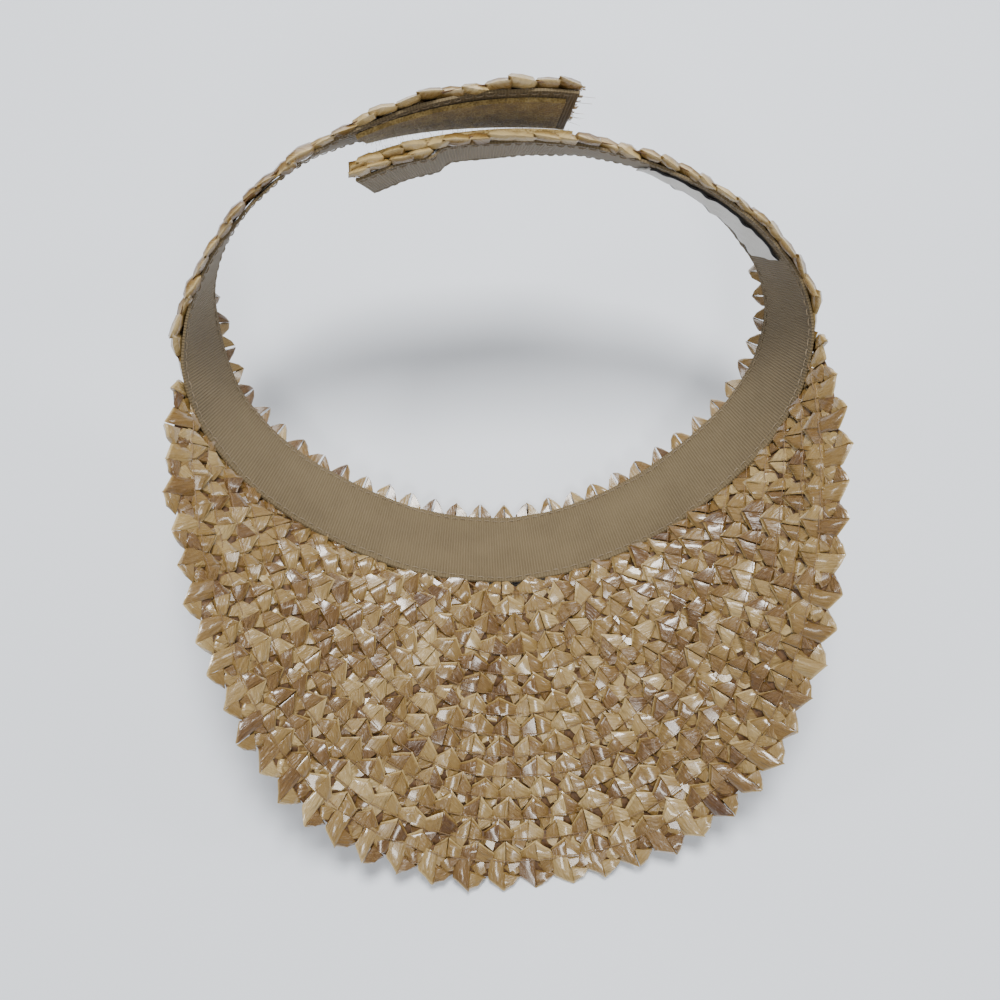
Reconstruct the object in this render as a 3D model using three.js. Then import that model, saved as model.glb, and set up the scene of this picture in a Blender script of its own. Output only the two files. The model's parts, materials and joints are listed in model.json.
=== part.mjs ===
// Straw visor, lying underside up: a plaited straw brim and headband, a ribbon sweatband,
// a hook-and-loop closure at the back of the strap and a plain woven label.
// Millimetres, +Z up, +Y towards the strap, -Y towards the brim's front edge.
import * as THREE from 'three';

const degree = Math.PI / 180;

// Head ring, measured at the ribbon's crown edge in the plane of that edge
const ringHalfWidth = 96;
const ringFront = 74;
const ringBack = 66;
const ringPinch = 0.05; // share by which the front diagonals are drawn in

// Band wall
const ribbonWidth = 35;
const ribbonThickness = 1;
const frontLean = 17 * degree; // the wall leans outwards, most at the forehead
const backLean = 3 * degree;
const bandThickness = 1;
const bandRib = 0.5;
const bandPlaits = 3;
const seamGap = 0.3;
const stripRows = 5;

// Strap: the right end tucks inside the left end and is folded over
// Angles are measured round the ring from the forehead. Each side twists about its free edge,
// by turns that come in between two angles.
const rightStrap = {
  end: 206 * degree, leaves: 75 * degree, settles: 150 * degree, shift: -5,
  twists: [{ turn: 8 * degree, from: 140 * degree, to: 185 * degree }],
};
const leftStrap = {
  end: 196 * degree, leaves: 100 * degree, settles: 200 * degree, shift: 10,
  twists: [
    { turn: -10 * degree, from: 86 * degree, to: 115 * degree },
    { turn: 26 * degree, from: 125 * degree, to: 190 * degree },
  ],
};
const foldLength = 23;
const foldRise = 3;
const foldThickness = 2.2;

// Zigzag points along the plaits' edges
const bandPointPitch = 9;
const bandPointHeight = 4;
const crownPointHeight = 5.5;
const crownPointCurl = 1.2; // the crown points turn in under the ribbon's edge
const brimPointCount = 46;
const brimPointHeight = 4;

// Brim
const brimLength = 105;
const hornAngle = 92 * degree; // where the brim runs out beside the temples
const hornRun = 1.3; // how the brim's length falls off towards the horns
const hornFall = 1.16;
const frontRound = 0.15; // share of the horn angle over which the front edge is rounded
const frontSlope = 30 * degree; // brim to ring plane at the forehead
const sideSlope = 70 * degree; // and beside the temples
const rowPitch = 7;
const rowFlat = 6.2; // from a row's outer edge to the top of its step
const brimThickness = 1.9;
const brimRib = 0.9;
const brimLand = 2.5; // rows that end nearer than this to the band run into the seam

// Closure and label
const tapeThickness = 1.4;
const tapeInset = 5; // from the ribbon's edges
const hookTape = { from: -194, to: -157, steps: 10 };
const loopTape = { from: 164, to: 203, steps: 10 };
const label = { from: 108, to: 147, steps: 7, low: 6, high: 29, thickness: 0.8 };

const straw = { color: 0xc9a671, roughness: 0.45, metalness: 0 };
const grosgrain = { color: 0xa08c74, roughness: 0.85, metalness: 0 };
const tapeBrown = { color: 0x6e5c40, roughness: 0.95, metalness: 0 };
const labelWhite = { color: 0xd9d7d0, roughness: 0.8, metalness: 0 };

const smooth = (low, high, value) => THREE.MathUtils.smoothstep(value, low, high);

// Place on the ring, by the angle round it: 0 at the forehead, positive to the right
function ringPlan(angle) {
  const frontShare = (1 + Math.cos(angle)) / 2;
  const squeeze = 1 - ringPinch * frontShare * Math.sin(2 * angle) ** 2;
  const reach = Math.cos(angle) > 0 ? ringFront : ringBack;
  return new THREE.Vector2(ringHalfWidth * Math.sin(angle), -reach * Math.cos(angle)).multiplyScalar(squeeze);
}

function ringOutward(angle) {
  const step = 1e-3;
  const along = ringPlan(angle + step).sub(ringPlan(angle - step)).normalize();
  return new THREE.Vector2(along.y, -along.x);
}

function strapShift(angle) {
  const { leaves, settles, shift } = angle > 0 ? rightStrap : leftStrap;
  return shift * smooth(leaves, settles, Math.abs(angle));
}

function wallLean(angle) {
  return backLean + (frontLean - backLean) * (1 + Math.cos(angle)) / 2;
}

function strapTwist(angle) {
  const { twists } = angle > 0 ? rightStrap : leftStrap;
  return twists.reduce((sum, { turn, from, to }) => sum + turn * smooth(from, to, Math.abs(angle)), 0);
}

// A direction in the upright plane through the ring's outward normal at this angle
function upright(angle, outward, up) {
  const normal = ringOutward(angle);
  return new THREE.Vector3(normal.x * outward, normal.y * outward, up);
}

// A point of the band wall: height from the ribbon's crown edge, depth outwards from its inner face
function wallPoint(angle, height, depth) {
  const lean = wallLean(angle) + strapTwist(angle);
  const heldEdge = ribbonWidth * (Math.sin(wallLean(angle)) - Math.sin(lean));
  const plan = ringPlan(angle).addScaledVector(ringOutward(angle), strapShift(angle) + heldEdge);
  return new THREE.Vector3(plan.x, plan.y, 0)
    .add(upright(angle, Math.sin(lean), Math.cos(lean)).multiplyScalar(height))
    .add(upright(angle, Math.cos(lean), -Math.sin(lean)).multiplyScalar(depth));
}

// Angles a fixed arc length apart on a curve, from the angle 0 outwards to the limit
function stepsAlong(curve, limit, count) {
  const samples = 600;
  const lengths = [0];
  for (let i = 1; i <= samples; i++) {
    const here = curve(limit * i / samples);
    lengths.push(lengths[i - 1] + here.distanceTo(curve(limit * (i - 1) / samples)));
  }
  const angles = [];
  for (let k = 0, i = 0; k <= count; k++) {
    const target = lengths[samples] * k / count;
    while (i < samples - 1 && lengths[i + 1] < target) i++;
    const part = (target - lengths[i]) / (lengths[i + 1] - lengths[i]);
    angles.push(limit * (i + part) / samples);
  }
  return angles;
}

function curveLength(curve, limit) {
  const samples = 600;
  let total = 0;
  for (let i = 1; i <= samples; i++) {
    total += curve(limit * i / samples).distanceTo(curve(limit * (i - 1) / samples));
  }
  return total;
}

// The two halves of a set of angles joined, left end first
const bothSides = (left, right) => [...left.slice(1).reverse(), ...right];

// A closed wall from columns of paired points, with optional zigzag points on its two long edges.
// Each column has an inner and an outer list, running from the first edge to the second.
function wallGeometry(columns, firstPoint = () => null, secondPoint = () => null) {
  const positions = [];
  const triangles = [];
  const known = new Map();
  const place = (point) => {
    const key = point.toArray().map((value) => Math.round(value * 1000)).join();
    if (!known.has(key)) {
      known.set(key, positions.length / 3);
      positions.push(...point.toArray());
    }
    return known.get(key);
  };
  const triangle = (a, b, c) => {
    const corners = [a, b, c].map(place);
    if (new Set(corners).size === 3) triangles.push(...corners);
  };
  const quad = (a, b, c, d) => {
    triangle(a, b, c);
    triangle(a, c, d);
  };
  const edge = (innerA, innerB, outerA, outerB, point) => {
    if (!point) {
      quad(innerA, innerB, outerB, outerA);
      return;
    }
    triangle(innerA, innerB, point.inner);
    triangle(outerB, outerA, point.outer);
    quad(innerA, point.inner, point.outer, outerA);
    quad(point.inner, innerB, outerB, point.outer);
  };
  const last = columns[0].inner.length - 1;
  for (let i = 0; i + 1 < columns.length; i++) {
    const a = columns[i];
    const b = columns[i + 1];
    for (let j = 0; j < last; j++) {
      quad(a.inner[j], a.inner[j + 1], b.inner[j + 1], b.inner[j]);
      quad(a.outer[j], b.outer[j], b.outer[j + 1], a.outer[j + 1]);
    }
    edge(a.inner[0], b.inner[0], a.outer[0], b.outer[0], firstPoint(i));
    edge(b.inner[last], a.inner[last], b.outer[last], a.outer[last], secondPoint(i));
  }
  const start = columns[0];
  const end = columns[columns.length - 1];
  for (let j = 0; j < last; j++) {
    quad(start.inner[j], start.outer[j], start.outer[j + 1], start.inner[j + 1]);
    quad(end.inner[j], end.inner[j + 1], end.outer[j + 1], end.outer[j]);
  }
  const geometry = new THREE.BufferGeometry();
  geometry.setAttribute('position', new THREE.Float32BufferAttribute(positions, 3));
  geometry.setIndex(triangles);
  geometry.computeVertexNormals();
  return geometry;
}

function piece(name, geometry, finish) {
  const mesh = new THREE.Mesh(geometry, new THREE.MeshStandardMaterial(finish));
  mesh.name = name;
  return mesh;
}

// Columns of the band, even along its crown edge, with a valley at the forehead
const crownEdge = (angle) => wallPoint(angle, 0, 0);
const bandSide = (end) => {
  const count = Math.round(curveLength(crownEdge, end) / bandPointPitch);
  return stepsAlong(crownEdge, end, count);
};
const bandAngles = bothSides(bandSide(-leftStrap.end), bandSide(rightStrap.end));
const middle = (angles, i) => (angles[i] + angles[i + 1]) / 2;

// How far the folded right end carries the ribbon inwards
const rightLength = curveLength(crownEdge, rightStrap.end);
function foldShift(angle) {
  if (angle < rightStrap.settles) return 0;
  const left = rightLength - curveLength(crownEdge, angle);
  return foldThickness * (1 - smooth(foldLength - foldRise, foldLength + foldRise, left));
}

function makeHeadband() {
  const inside = ribbonThickness + seamGap;
  const plaitHeight = ribbonWidth / bandPlaits;
  const step = 1;
  const heights = [];
  for (let k = 0; k < bandPlaits; k++) {
    heights.push({ height: k * plaitHeight, rib: bandRib });
    heights.push({ height: (k + 1) * plaitHeight - (k + 1 < bandPlaits ? step : 0), rib: 0 });
  }
  const columns = bandAngles.map((angle) => ({
    inner: heights.map(({ height }) => wallPoint(angle, height, inside - foldShift(angle))),
    outer: heights.map(({ height, rib }) => wallPoint(angle, height, inside + bandThickness + rib)),
  }));
  const point = (i, height, curl) => {
    const angle = middle(bandAngles, i);
    return {
      inner: wallPoint(angle, height, inside - foldShift(angle) - curl),
      outer: wallPoint(angle, height, inside + bandThickness - curl),
    };
  };
  const crownPoint = (i) => point(i, -crownPointHeight, crownPointCurl);
  const strapPoint = (i) => {
    const clearOfBrim = Math.min(Math.abs(bandAngles[i]), Math.abs(bandAngles[i + 1])) > hornAngle;
    return clearOfBrim ? point(i, ribbonWidth + bandPointHeight, 0) : null;
  };
  return wallGeometry(columns, crownPoint, strapPoint);
}

// A plain strip on the band wall, between two depths, in rows that follow the strap's twist
function stripGeometry(angles, low, high, innerDepth, outerDepth) {
  const heights = Array.from({ length: stripRows + 1 }, (_, j) => low + (high - low) * j / stripRows);
  return wallGeometry(angles.map((angle) => ({
    inner: heights.map((height) => wallPoint(angle, height, innerDepth(angle))),
    outer: heights.map((height) => wallPoint(angle, height, outerDepth(angle))),
  })));
}

function makeRibbon() {
  return stripGeometry(bandAngles, 0, ribbonWidth,
    (angle) => -foldShift(angle), (angle) => ribbonThickness - foldShift(angle));
}

const spread = ({ from, to, steps }) =>
  Array.from({ length: steps + 1 }, (_, i) => (from + (to - from) * i / steps) * degree);

function makeHookTape() {
  return stripGeometry(spread(hookTape), tapeInset, ribbonWidth - tapeInset,
    () => -seamGap - tapeThickness, () => -seamGap);
}

function makeLoopTape() {
  const face = ribbonThickness + 2 * seamGap + bandThickness + bandRib;
  return stripGeometry(spread(loopTape), tapeInset, ribbonWidth - tapeInset,
    () => face, () => face + tapeThickness);
}

function makeLabel() {
  return stripGeometry(spread(label), label.low, label.high,
    () => -seamGap - label.thickness, () => -seamGap);
}

// Brim, from the band's lower edge outwards
function brimReach(angle) {
  const rounded = (share) => Math.hypot(share, frontRound) - frontRound;
  const share = rounded(Math.min(Math.abs(angle) / hornAngle, 1)) / rounded(1);
  return brimLength * (1 - share ** hornRun) ** hornFall;
}

function brimSlope(angle) {
  return frontSlope + (sideSlope - frontSlope) * Math.sin(angle) ** 2;
}

// A point of the brim, by its distance out from the seam and its height above the visible face
function brimPoint(angle, distance, rise) {
  const slope = brimSlope(angle);
  return wallPoint(angle, ribbonWidth + seamGap, ribbonThickness + seamGap)
    .add(upright(angle, Math.cos(slope), Math.sin(slope)).multiplyScalar(distance))
    .add(upright(angle, -Math.sin(slope), Math.cos(slope)).multiplyScalar(rise));
}

const brimEdge = (angle) => brimPoint(angle, brimReach(angle), 0);
const brimSeam = (angle) => brimPoint(angle, 0, 0);

// The outer edge runs aslant to the seam near the horns: distances square to the edge grow by this
function edgeSlant(angle) {
  const step = 1e-3;
  const change = brimReach(angle + step) - brimReach(angle - step);
  return Math.hypot(1, change / brimSeam(angle + step).distanceTo(brimSeam(angle - step)));
}

// Distance from the seam to the line between the edge's zigzag points
function valleyReach(angle) {
  return brimReach(angle) - brimPointHeight * edgeSlant(angle);
}

// The brim stops where that line comes down to the seam
function hornEnd() {
  let [low, high] = [hornAngle / 2, hornAngle];
  for (let i = 0; i < 40; i++) {
    const angle = (low + high) / 2;
    if (valleyReach(angle) > brimLand) low = angle;
    else high = angle;
  }
  return low;
}

function makeBrim() {
  const half = stepsAlong(brimEdge, hornEnd(), brimPointCount / 2);
  const angles = bothSides(half.map((angle) => -angle), half);
  const rowCount = Math.ceil(brimLength / rowPitch);
  const lines = [{ inset: Infinity, top: 0, under: 0 }];
  for (let k = rowCount - 1; k >= 0; k--) {
    lines.push({ inset: k * rowPitch + rowFlat, top: brimRib, under: 0 });
    lines.push({ inset: k * rowPitch, top: 0, under: k > 0 ? brimRib : 0 });
  }
  const columns = angles.map((angle) => {
    const reach = valleyReach(angle);
    const slant = edgeSlant(angle);
    const inner = [];
    const outer = [];
    for (const { inset, top, under } of lines) {
      const distance = reach - inset * slant;
      if (distance < brimLand) {
        inner.push(brimSeam(angle));
        outer.push(wallPoint(angle, ribbonWidth + seamGap, ribbonThickness + seamGap + brimThickness));
      } else {
        inner.push(brimPoint(angle, distance, top));
        outer.push(brimPoint(angle, distance, -brimThickness - under));
      }
    }
    return { inner, outer };
  });
  const edgePoint = (i) => {
    const angle = middle(angles, i);
    const reach = brimReach(angle);
    return { inner: brimPoint(angle, reach, 0), outer: brimPoint(angle, reach, -brimThickness) };
  };
  return wallGeometry(columns, undefined, edgePoint);
}

const headband = piece('headband', makeHeadband(), straw);
const brim = piece('brim', makeBrim(), straw);
const visor = new THREE.Group();
visor.add(
  brim,
  headband,
  piece('sweatband_ribbon', makeRibbon(), grosgrain),
  piece('hook_tape', makeHookTape(), tapeBrown),
  piece('loop_tape', makeLoopTape(), tapeBrown),
  piece('label', makeLabel(), labelWhite),
);

// The visor rests on the band's crown edge and the brim's front edge: the tilt that levels the two
function lowest(mesh, tilt) {
  const place = mesh.geometry.getAttribute('position');
  let low = Infinity;
  for (let i = 0; i < place.count; i++) {
    low = Math.min(low, place.getY(i) * Math.sin(tilt) + place.getZ(i) * Math.cos(tilt));
  }
  return low;
}

function restTilt() {
  let [low, high] = [20 * degree, 70 * degree];
  for (let i = 0; i < 40; i++) {
    const tilt = (low + high) / 2;
    if (lowest(brim, tilt) > lowest(headband, tilt)) low = tilt;
    else high = tilt;
  }
  return (low + high) / 2;
}

visor.rotation.x = restTilt();
visor.updateMatrixWorld(true);
const box = new THREE.Box3().setFromObject(visor, true);
const centre = box.getCenter(new THREE.Vector3());
visor.position.set(-centre.x, -centre.y, -box.min.z);

export default visor;
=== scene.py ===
import json
import math

import bpy
import numpy as np
from mathutils import Matrix, Vector

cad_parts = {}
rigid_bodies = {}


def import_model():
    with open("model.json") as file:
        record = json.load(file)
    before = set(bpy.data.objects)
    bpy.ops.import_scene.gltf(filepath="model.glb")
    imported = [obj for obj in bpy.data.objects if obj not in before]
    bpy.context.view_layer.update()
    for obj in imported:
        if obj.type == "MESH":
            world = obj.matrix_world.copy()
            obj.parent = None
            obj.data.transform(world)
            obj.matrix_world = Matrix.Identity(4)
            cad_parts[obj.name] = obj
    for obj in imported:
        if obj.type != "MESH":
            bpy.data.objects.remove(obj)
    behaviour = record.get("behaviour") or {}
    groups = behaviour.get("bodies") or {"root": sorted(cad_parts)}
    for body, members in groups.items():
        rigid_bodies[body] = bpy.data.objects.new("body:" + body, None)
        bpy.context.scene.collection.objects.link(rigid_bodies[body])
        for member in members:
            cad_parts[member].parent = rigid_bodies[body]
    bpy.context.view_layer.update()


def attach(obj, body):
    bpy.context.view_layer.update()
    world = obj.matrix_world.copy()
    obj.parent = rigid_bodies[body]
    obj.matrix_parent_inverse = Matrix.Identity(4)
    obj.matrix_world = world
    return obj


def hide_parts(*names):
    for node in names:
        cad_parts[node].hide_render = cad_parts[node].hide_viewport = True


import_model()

mm = 0.001
degree = math.pi / 180

# The head ring and the band wall, in mm, as the part's source has them
ring = {
    "halfWidth": 96, "front": 74, "back": 66, "pinch": 0.05,
    "wallHeight": 35, "frontLean": 17 * degree, "backLean": 3 * degree,
    "tilt": 40.822211 * degree, "centreY": 67.82258, "centreZ": 52.16337,  # how it lies on the floor
}
# Each side of the strap leaves the ring's curve and twists, by turns that come in between two angles
strapRight = {
    "end": 206 * degree, "leaves": 75 * degree, "settles": 150 * degree, "shift": -5,
    "twists": ((8 * degree, 140 * degree, 185 * degree),),
}
strapLeft = {
    "end": 196 * degree, "leaves": 100 * degree, "settles": 200 * degree, "shift": 10,
    "twists": ((-10 * degree, 86 * degree, 115 * degree), (26 * degree, 125 * degree, 190 * degree)),
}


def smooth(low, high, value):
    t = np.clip((value - low) / (high - low), 0, 1)
    return t * t * (3 - 2 * t)


# Place on the ring by the angle round it: 0 at the forehead, positive to the right
def ringPlan(angle):
    share = (1 + np.cos(angle)) / 2
    squeeze = 1 - ring["pinch"] * share * np.sin(2 * angle) ** 2
    reach = np.where(np.cos(angle) > 0, ring["front"], ring["back"])
    return np.stack([ring["halfWidth"] * np.sin(angle), -reach * np.cos(angle)], -1) * squeeze[..., None]


def ringOutward(angle):
    along = ringPlan(angle + 1e-3) - ringPlan(angle - 1e-3)
    along /= np.linalg.norm(along, axis=-1, keepdims=True)
    return np.stack([along[..., 1], -along[..., 0]], -1)


def bySide(angle, rule):
    return np.where(angle > 0, rule(strapRight, np.abs(angle)), rule(strapLeft, np.abs(angle)))


def strapShift(strap, angle):
    return strap["shift"] * smooth(strap["leaves"], strap["settles"], angle)


def strapTwist(strap, angle):
    return sum(turn * smooth(start, stop, angle) for turn, start, stop in strap["twists"])


def upright(normal, outward, up):
    return np.concatenate([normal * outward[..., None], up[..., None]], -1)


# A point of the band wall: height from the ribbon's crown edge, depth outwards from its inner face
def wallPoint(angle, height, depth):
    normal = ringOutward(angle)
    plainLean = ring["backLean"] + (ring["frontLean"] - ring["backLean"]) * (1 + np.cos(angle)) / 2
    lean = plainLean + bySide(angle, strapTwist)
    heldEdge = ring["wallHeight"] * (np.sin(plainLean) - np.sin(lean))
    plan = ringPlan(angle) + normal * (bySide(angle, strapShift) + heldEdge)[..., None]
    base = np.concatenate([plan, np.zeros_like(plan[..., :1])], -1)
    along = upright(normal, np.sin(lean), np.cos(lean))
    across = upright(normal, np.cos(lean), -np.sin(lean))
    return base + along * np.asarray(height)[..., None] + across * np.asarray(depth)[..., None]


# From the ring's own frame in mm to the shared frame in metres
def toFloor(points):
    c, s = math.cos(ring["tilt"]), math.sin(ring["tilt"])
    x, y, z = points[..., 0], points[..., 1], points[..., 2]
    placed = [x, y * c - z * s + ring["centreY"], y * s + z * c + ring["centreZ"]]
    return np.stack(placed, -1) * mm


def arcLengths(points):
    steps = np.linalg.norm(np.diff(points, axis=0), axis=-1)
    return np.concatenate([[0], np.cumsum(steps)])


# Node helpers
def nodeMaker(tree):
    def make(kind, inputs=None, **settings):
        node = tree.nodes.new(kind)
        for name, value in settings.items():
            setattr(node, name, value)
        for name, value in (inputs or {}).items():
            if isinstance(value, bpy.types.NodeSocket):
                tree.links.new(value, node.inputs[name])
            else:
                node.inputs[name].default_value = value
        return node
    return make


def newMaterial(name, look=None):
    material = bpy.data.materials.new(name)
    material.use_nodes = True
    tree = material.node_tree
    tree.nodes.clear()
    make = nodeMaker(tree)
    shader = make("ShaderNodeBsdfPrincipled", look)
    output = make("ShaderNodeOutputMaterial")
    tree.links.new(shader.outputs["BSDF"], output.inputs["Surface"])
    return material, make, shader, tree.links.new


def ramp(make, factor, stops):
    node = make("ShaderNodeValToRGB", {"Fac": factor})
    for extra in range(len(stops) - 2):
        node.color_ramp.elements.new(0.5)
    for element, (place, colour) in zip(node.color_ramp.elements, stops):
        element.position = place
        element.color = (*colour, 1)
    return node.outputs["Color"]


def mathOf(make, operation, *values):
    return make("ShaderNodeMath", dict(enumerate(values)), operation=operation).outputs[0]


# One value times an amount, plus a base
def addScaled(make, value, amount, base):
    return mathOf(make, "MULTIPLY_ADD", value, amount, base)


# Noise in the object's own space
def noiseOf(make, scale, detail, roughness=0.5):
    here = make("ShaderNodeTexCoord").outputs["Object"]
    return make("ShaderNodeTexNoise", {"Vector": here, "Scale": scale, "Detail": detail,
                                       "Roughness": roughness}).outputs[0]


# The last strokes of a material: bump from one pattern, roughness from another
def finishSurface(make, shader, link, height, strength, distance, wear, smoothest, roughest):
    bump = make("ShaderNodeBump", {"Height": height, "Strength": strength, "Distance": distance})
    link(bump.outputs[0], shader.inputs["Normal"])
    rough = make("ShaderNodeMapRange", {"Value": wear, "To Min": smoothest, "To Max": roughest})
    link(rough.outputs[0], shader.inputs["Roughness"])


# Straw: every fold of a strand has its own tone, lengthwise fibres, wrinkles and a waxy gloss, with a painted
# highlight along the hem at each facet's top edge
strawLook = {
    "tones": [(0.0, (0.070, 0.027, 0.005)), (0.22, (0.14, 0.070, 0.015)), (0.5, (0.225, 0.135, 0.036)),
              (0.75, (0.30, 0.196, 0.066)), (1.0, (0.48, 0.35, 0.155))],
    "fibrePitch": 0.3, "fibreLength": 8.0, "wrinklePitch": 1.1, "wrinkleLength": 3.6,
    "fibreBump": 0.45, "wrinkleBump": 1.0,
    "foldTones": 0.8, "patches": 0.55, "streaks": 0.45, "hemHighlight": 0.75, "offset": -0.42,
    "gloss": {"Specular IOR Level": 0.6, "Coat Weight": 1.0, "Coat Roughness": 0.16},
}


def strawMaterial():
    material, make, shader, link = newMaterial("goldenStraw", strawLook["gloss"])
    tone = make("ShaderNodeAttribute", attribute_name="strandTone")
    hemHighlight = make("ShaderNodeAttribute", attribute_name="strandHemHighlight")
    place = make("ShaderNodeAttribute", attribute_name="strandUV").outputs["Vector"]
    parts = make("ShaderNodeSeparateXYZ", {0: place})
    apart = mathOf(make, "MULTIPLY", tone.outputs["Fac"], 83.0)
    key = make("ShaderNodeCombineXYZ", {"X": apart, "Y": parts.outputs["Z"]})
    chance = make("ShaderNodeTexWhiteNoise", {"Vector": key.outputs[0]}, noise_dimensions="2D")

    def strandNoise(pitch, length, detail):
        stretch = make("ShaderNodeMapping", {"Vector": place, "Scale": (1 / pitch, 1 / length, 9.0)})
        moved = make("ShaderNodeVectorMath", {0: chance.outputs["Color"], 1: (40.0, 40.0, 40.0),
                                              2: stretch.outputs[0]}, operation="MULTIPLY_ADD")
        return make("ShaderNodeTexNoise", {"Vector": moved.outputs[0], "Scale": 1.0, "Detail": detail,
                                           "Roughness": 0.6}).outputs[0]

    fibre = strandNoise(strawLook["fibrePitch"], strawLook["fibreLength"], 3.0)
    wrinkle = strandNoise(strawLook["wrinklePitch"], strawLook["wrinkleLength"], 1.5)
    patch = noiseOf(make, 38.0, 2.0)
    # Painted highlight: the folded hem at each facet's top edge is made paler in colour, standing in for the
    # light that catches it
    rim = mathOf(make, "POWER", hemHighlight.outputs["Fac"], 1.5)
    level = addScaled(make, fibre, strawLook["streaks"], strawLook["offset"])
    level = addScaled(make, patch, strawLook["patches"], level)
    level = addScaled(make, chance.outputs["Value"], strawLook["foldTones"], level)
    level = addScaled(make, rim, strawLook["hemHighlight"], level)
    link(ramp(make, level, strawLook["tones"]), shader.inputs["Base Color"])
    gloss = make("ShaderNodeMapRange", {"Value": fibre, "From Min": 0.3, "From Max": 0.7,
                                        "To Min": 0.22, "To Max": 0.45})
    link(gloss.outputs[0], shader.inputs["Roughness"])
    folds = make("ShaderNodeBump", {"Height": wrinkle, "Strength": strawLook["wrinkleBump"],
                                    "Distance": 0.0007})
    bump = make("ShaderNodeBump", {"Height": fibre, "Strength": strawLook["fibreBump"],
                                   "Distance": 0.00015, "Normal": folds.outputs[0]})
    link(bump.outputs[0], shader.inputs["Normal"])
    return material


# Dark straw of a plait's inner layers, seen only down the gaps between its folds: painted shade, standing in
# for the darkness in those gaps
def shadeMaterial():
    material, make, shader, link = newMaterial("shadedStraw")
    fibre = noiseOf(make, 900.0, 3.0)
    link(ramp(make, fibre, [(0.3, (0.055, 0.024, 0.007)), (0.7, (0.14, 0.068, 0.021))]),
         shader.inputs["Base Color"])
    finishSurface(make, shader, link, fibre, 0.6, 0.0004, fibre, 0.5, 0.8)
    return material


# Sewing thread, tan on the straw and beige on the ribbon
def threadMaterial(name, dark, pale):
    material, make, shader, link = newMaterial(name, {"Sheen Weight": 0.25})
    twist = noiseOf(make, 2400.0, 2.0)
    link(ramp(make, twist, [(0.3, dark), (0.7, pale)]), shader.inputs["Base Color"])
    finishSurface(make, shader, link, twist, 0.5, 0.0001, twist, 0.5, 0.75)
    return material


goldenStraw = strawMaterial()
shadedStraw = shadeMaterial()
tanThread = threadMaterial("tanThread", (0.13, 0.065, 0.022), (0.27, 0.16, 0.065))
beigeThread = threadMaterial("beigeThread", (0.15, 0.108, 0.06), (0.25, 0.19, 0.115))

# The plait's folds, in mm from its sewing line: a house-shaped peak towards the crown, with its feet
# below the line, and a pointed picot towards the free edge. Each is made of a few puffed facets: the
# corners go round from the foot of the crease, with the facet's height at each, the hem widths at its
# four sides and the way that its fibres run. Its rim sits lower by the drop, or by the crease's share of it.
peak = {
    "pitch": 10.2, "drop": 0.9, "crease": 0.35, "puff": 0.36, "stray": 0.45, "lift": 0.36, "crumple": 0.18,
    "variants": 7, "seed": 5,
    "facets": (
        {"corners": ((-0.05, -0.7), (-0.05, 6.9), (-5.2, 2.6), (-5.3, -0.9)),
         "heights": (0.75, 0.8, 0.05, -0.1), "hems": (0.3, 0.6, 0.4, 0.9), "grain": 0, "cells": 4},
        {"corners": ((0.1, -0.7), (0.05, 6.9), (5.2, 2.4), (5.1, -0.8)),
         "heights": (0.8, 0.9, 0.15, 0.1), "hems": (0.35, 0.6, 0.4, 0.9), "grain": 56, "cells": 4},
        {"corners": ((-0.2, -0.2), (-5.3, -0.1), (-4.7, -2.4), (-1.7, -4.9)),
         "heights": (0.3, 0.1, -0.1, -0.2), "hems": (0.5, 0.6, 0.4, 0.6), "grain": 40, "cells": 3},
        {"corners": ((0.2, -0.2), (1.7, -4.9), (4.7, -2.4), (5.3, -0.1)),
         "heights": (0.35, -0.1, 0.0, 0.2), "hems": (0.4, 0.6, 0.5, 0.6), "grain": -40, "cells": 3},
    ),
}
picot = {
    "pitch": 10.9, "tip": 10.4, "drop": 0.75, "crease": 0.6, "puff": 0.35, "stray": 0.3, "lift": 0.15,
    "crumple": 0.14, "variants": 6, "seed": 9,
    "facets": (
        {"corners": ((-0.4, 0.6), (-0.1, -10.3), (-5.5, -6.2), (-5.7, 1.2)),
         "heights": (0.5, 0.3, 0.3, 0.35), "hems": (0.5, 0.8, 0.4, 0.9), "grain": 8, "cells": 4},
        {"corners": ((-0.3, -3.6), (-0.1, -10.3), (3.0, -8.3), (5.5, -5.6)),
         "heights": (0.45, 0.2, 0.3, 0.1), "hems": (0.4, 0.6, 0.4, 0.8), "grain": -60, "cells": 4},
        {"corners": ((0.2, -2.2), (2.9, -6.2), (5.9, -4.4), (4.6, 0.9)),
         "heights": (0.0, -0.1, -0.2, 0.1), "hems": (0.5, 0.5, 0.4, 0.5), "grain": -35, "cells": 4},
    ),
}
# On the strap the picots' two legs are plump and lie over one another
leaf = {
    "pitch": 12.4, "drop": 0.9, "crease": 1.0, "puff": 0.9, "stray": 0.5, "lift": 0.3, "crumple": 0.16,
    "variants": 6, "seed": 17,
    "facets": (
        {"corners": ((-7.3, -2.6), (-6.9, -7.4), (0.8, -10.4), (0.9, -4.0)),
         "heights": (-0.4, -0.4, 0.7, 0.6), "hems": (0.9, 0.9, 0.9, 1.1), "grain": -66, "cells": 4},
        {"corners": ((-0.7, -3.6), (-0.5, -10.0), (6.9, -7.2), (7.3, -2.4)),
         "heights": (-0.3, -0.3, 0.5, 0.5), "hems": (0.9, 0.9, 0.9, 1.1), "grain": -110, "cells": 4},
    ),
}
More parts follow.
